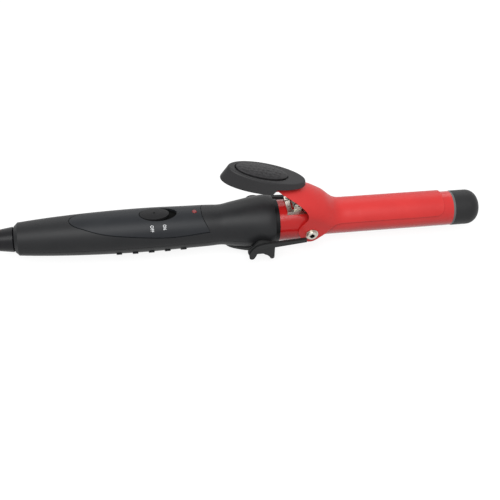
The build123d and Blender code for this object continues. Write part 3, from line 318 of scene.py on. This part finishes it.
# ---------------------------------------------------------------- small pieces
def mesh_piece(name, geometry, made, body, smooth=False):
    """Object from a bmesh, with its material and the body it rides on."""
    data = bpy.data.meshes.new(name)
    geometry.to_mesh(data)
    geometry.free()
    data.materials.append(made)
    for face in data.polygons:
        face.use_smooth = smooth
    piece = bpy.data.objects.new(name, data)
    scene.collection.objects.link(piece)
    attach(piece, body)


def surface_radius(name, x):
    """Outer radius of a CAD node about the X axis near one station, read from its mesh."""
    station = 4 * MM
    return max(math.hypot(v.co.y, v.co.z) for v in node[name].data.vertices if abs(v.co.x - x) < station)


CAPITAL_HEIGHT = 0.7  # of the font's size
LETTER_GAP = 1.08
STROKE_GROWTH = 0.05 * MM  # thickens the strokes
INK_LIFT = 0.04 * MM  # over the panel


def lettering(name, text, x, start_deg, height, squeeze):
    """Word whose letters stand along X and run round the panel, from the top down the -Y side."""
    curve = bpy.data.curves.new(name + "_curve", "FONT")
    curve.body = text
    curve.size = height / CAPITAL_HEIGHT
    curve.align_x = "LEFT"
    curve.align_y = "CENTER"
    curve.space_character = LETTER_GAP
    curve.offset = STROKE_GROWTH
    word = bpy.data.objects.new(name + "_curve", curve)
    scene.collection.objects.link(word)
    bpy.context.view_layer.update()
    flat = bpy.data.meshes.new_from_object(word.evaluated_get(bpy.context.evaluated_depsgraph_get()))
    bpy.data.objects.remove(word)
    geometry = bmesh.new()
    geometry.from_mesh(flat)
    bpy.data.meshes.remove(flat)
    bmesh.ops.triangulate(geometry, faces=geometry.faces[:])
    bmesh.ops.subdivide_edges(geometry, edges=geometry.edges[:], cuts=2, use_grid_fill=True)
    radius = surface_radius("control_panel", x) + INK_LIFT
    for v in geometry.verts:
        angle = math.radians(start_deg) + squeeze * v.co.x / radius
        v.co = Vector((x + v.co.y, -radius * math.sin(angle), radius * math.cos(angle)))
    mesh_piece(name, geometry, ink, "handle")


lettering("lettering_off", "OFF", 0.1081, 34.0, 0.0022, 0.81)
lettering("lettering_on", "ON", 0.1169, 34.0, 0.0022, 0.74)


def ellipse_patch(half_length, half_width, rings, spokes):
    """Points of a filled ellipse from its centre outwards, as (u, v, share of the radius), and its faces."""
    points = [(0.0, 0.0, 0.0)]
    for i in range(1, rings + 1):
        share = i / rings
        for j in range(spokes):
            turn = 2 * math.pi * j / spokes
            points.append((half_length * share * math.cos(turn), half_width * share * math.sin(turn), share))
    faces = [(0, 1 + j, 1 + (j + 1) % spokes) for j in range(spokes)]
    for i in range(rings - 1):
        a, b = 1 + i * spokes, 1 + (i + 1) * spokes
        for j in range(spokes):
            k = (j + 1) % spokes
            faces.append((a + j, b + j, b + k, a + k))
    return points, faces


def patch_geometry(points, faces, place):
    """Mesh of a patch whose points are put in space by the function place."""
    geometry = bmesh.new()
    made = [geometry.verts.new(place(*point)) for point in points]
    for face in faces:
        geometry.faces.new([made[i] for i in face])
    return geometry


# Painted shade: a dark sheet on the floor of the switch's window, seen beside the knob, for the shade in that
# recess.
window_low, window_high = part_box("switch_knob")
half_travel = 2.5 * MM
window_x = (window_low.x + window_high.x) / 2 + half_travel
window_half_length, window_half_width = 13.1 * MM, 6.15 * MM
floor_r = 13.53 * MM


def on_window_floor(u, v, share):
    return Vector((window_x + u, floor_r * math.sin(v / floor_r), floor_r * math.cos(v / floor_r)))


points, faces = ellipse_patch(window_half_length, window_half_width, rings=8, spokes=64)
mesh_piece("switch_recess_shade", patch_geometry(points, faces, on_window_floor), painted_recess_shade, "handle",
           smooth=True)


def top_plane(name, lean=(0.28, 0, 0.96)):
    """Centre and normal of a CAD node's top, averaged over the faces that look along lean."""
    lean = Vector(lean).normalized()
    data = node[name].data
    looks_along = 0.985  # cosine, about 10 degrees
    flat = [f for f in data.polygons if f.normal.dot(lean) > looks_along]
    area = sum(f.area for f in flat)
    centre = sum((f.center * f.area for f in flat), Vector()) / area
    normal = sum((f.normal * f.area for f in flat), Vector()).normalized()
    return centre, normal


# Crowned skin of the thumb pad's oval insert, with soft uneven bumps.
centre, normal = top_plane("thumb_pad_insert")
along = Vector((normal.z, 0, -normal.x))
across = Vector((0, 1, 0))
skin_half_length, skin_half_width = 18.7 * MM, 6.5 * MM
crown = 1.0 * MM
pitch, bump_height, bump_r = 3.3 * MM, 0.3 * MM, 0.9 * MM
row_pitch = pitch * 0.8
edge_fade = 6  # bumps fade out over the last sixth of the radius
spread = random.Random(7)
bumps = []
for row in range(-3, 4):
    for column in range(-7, 8):
        bump_u = (column + 0.5 * (row % 2)) * pitch + spread.uniform(-0.5, 0.5) * MM
        bump_v = row * row_pitch + spread.uniform(-0.4, 0.4) * MM
        bumps.append((bump_u, bump_v, spread.uniform(0.5, 1.2)))


def crowned(u, v, share):
    height = crown * (1 - share ** 2)
    fade = min(1.0, (1 - share) * edge_fade)
    for at_u, at_v, weight in bumps:
        away = ((u - at_u) ** 2 + (v - at_v) ** 2) / bump_r ** 2
        height += fade * weight * bump_height * math.exp(-away)
    return centre + along * u + across * v + normal * height


points, faces = ellipse_patch(skin_half_length, skin_half_width, rings=26, spokes=120)
mesh_piece("insert_skin", patch_geometry(points, faces, crowned), insert, "clamp", smooth=True)

# Painted shade: dark discs on the heads of the two pivot screws, for the shade in their sockets.
screw_low, screw_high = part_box("pivot_screws")
pivot_x = (screw_low.x + screw_high.x) / 2
socket_r = 1.75 * MM
socket_lift = 0.03 * MM
points, faces = ellipse_patch(socket_r, socket_r, rings=4, spokes=36)
for name, side, face_y in (("pivot_socket_shade_near", -1, screw_low.y), ("pivot_socket_shade_far", 1, screw_high.y)):
    geometry = patch_geometry(points, faces, lambda u, v, share: Vector(
        (pivot_x + u, face_y + side * socket_lift, -side * v)))
    mesh_piece(name, geometry, painted_recess_shade, "handle")

scene.view_settings.view_transform = "Standard"
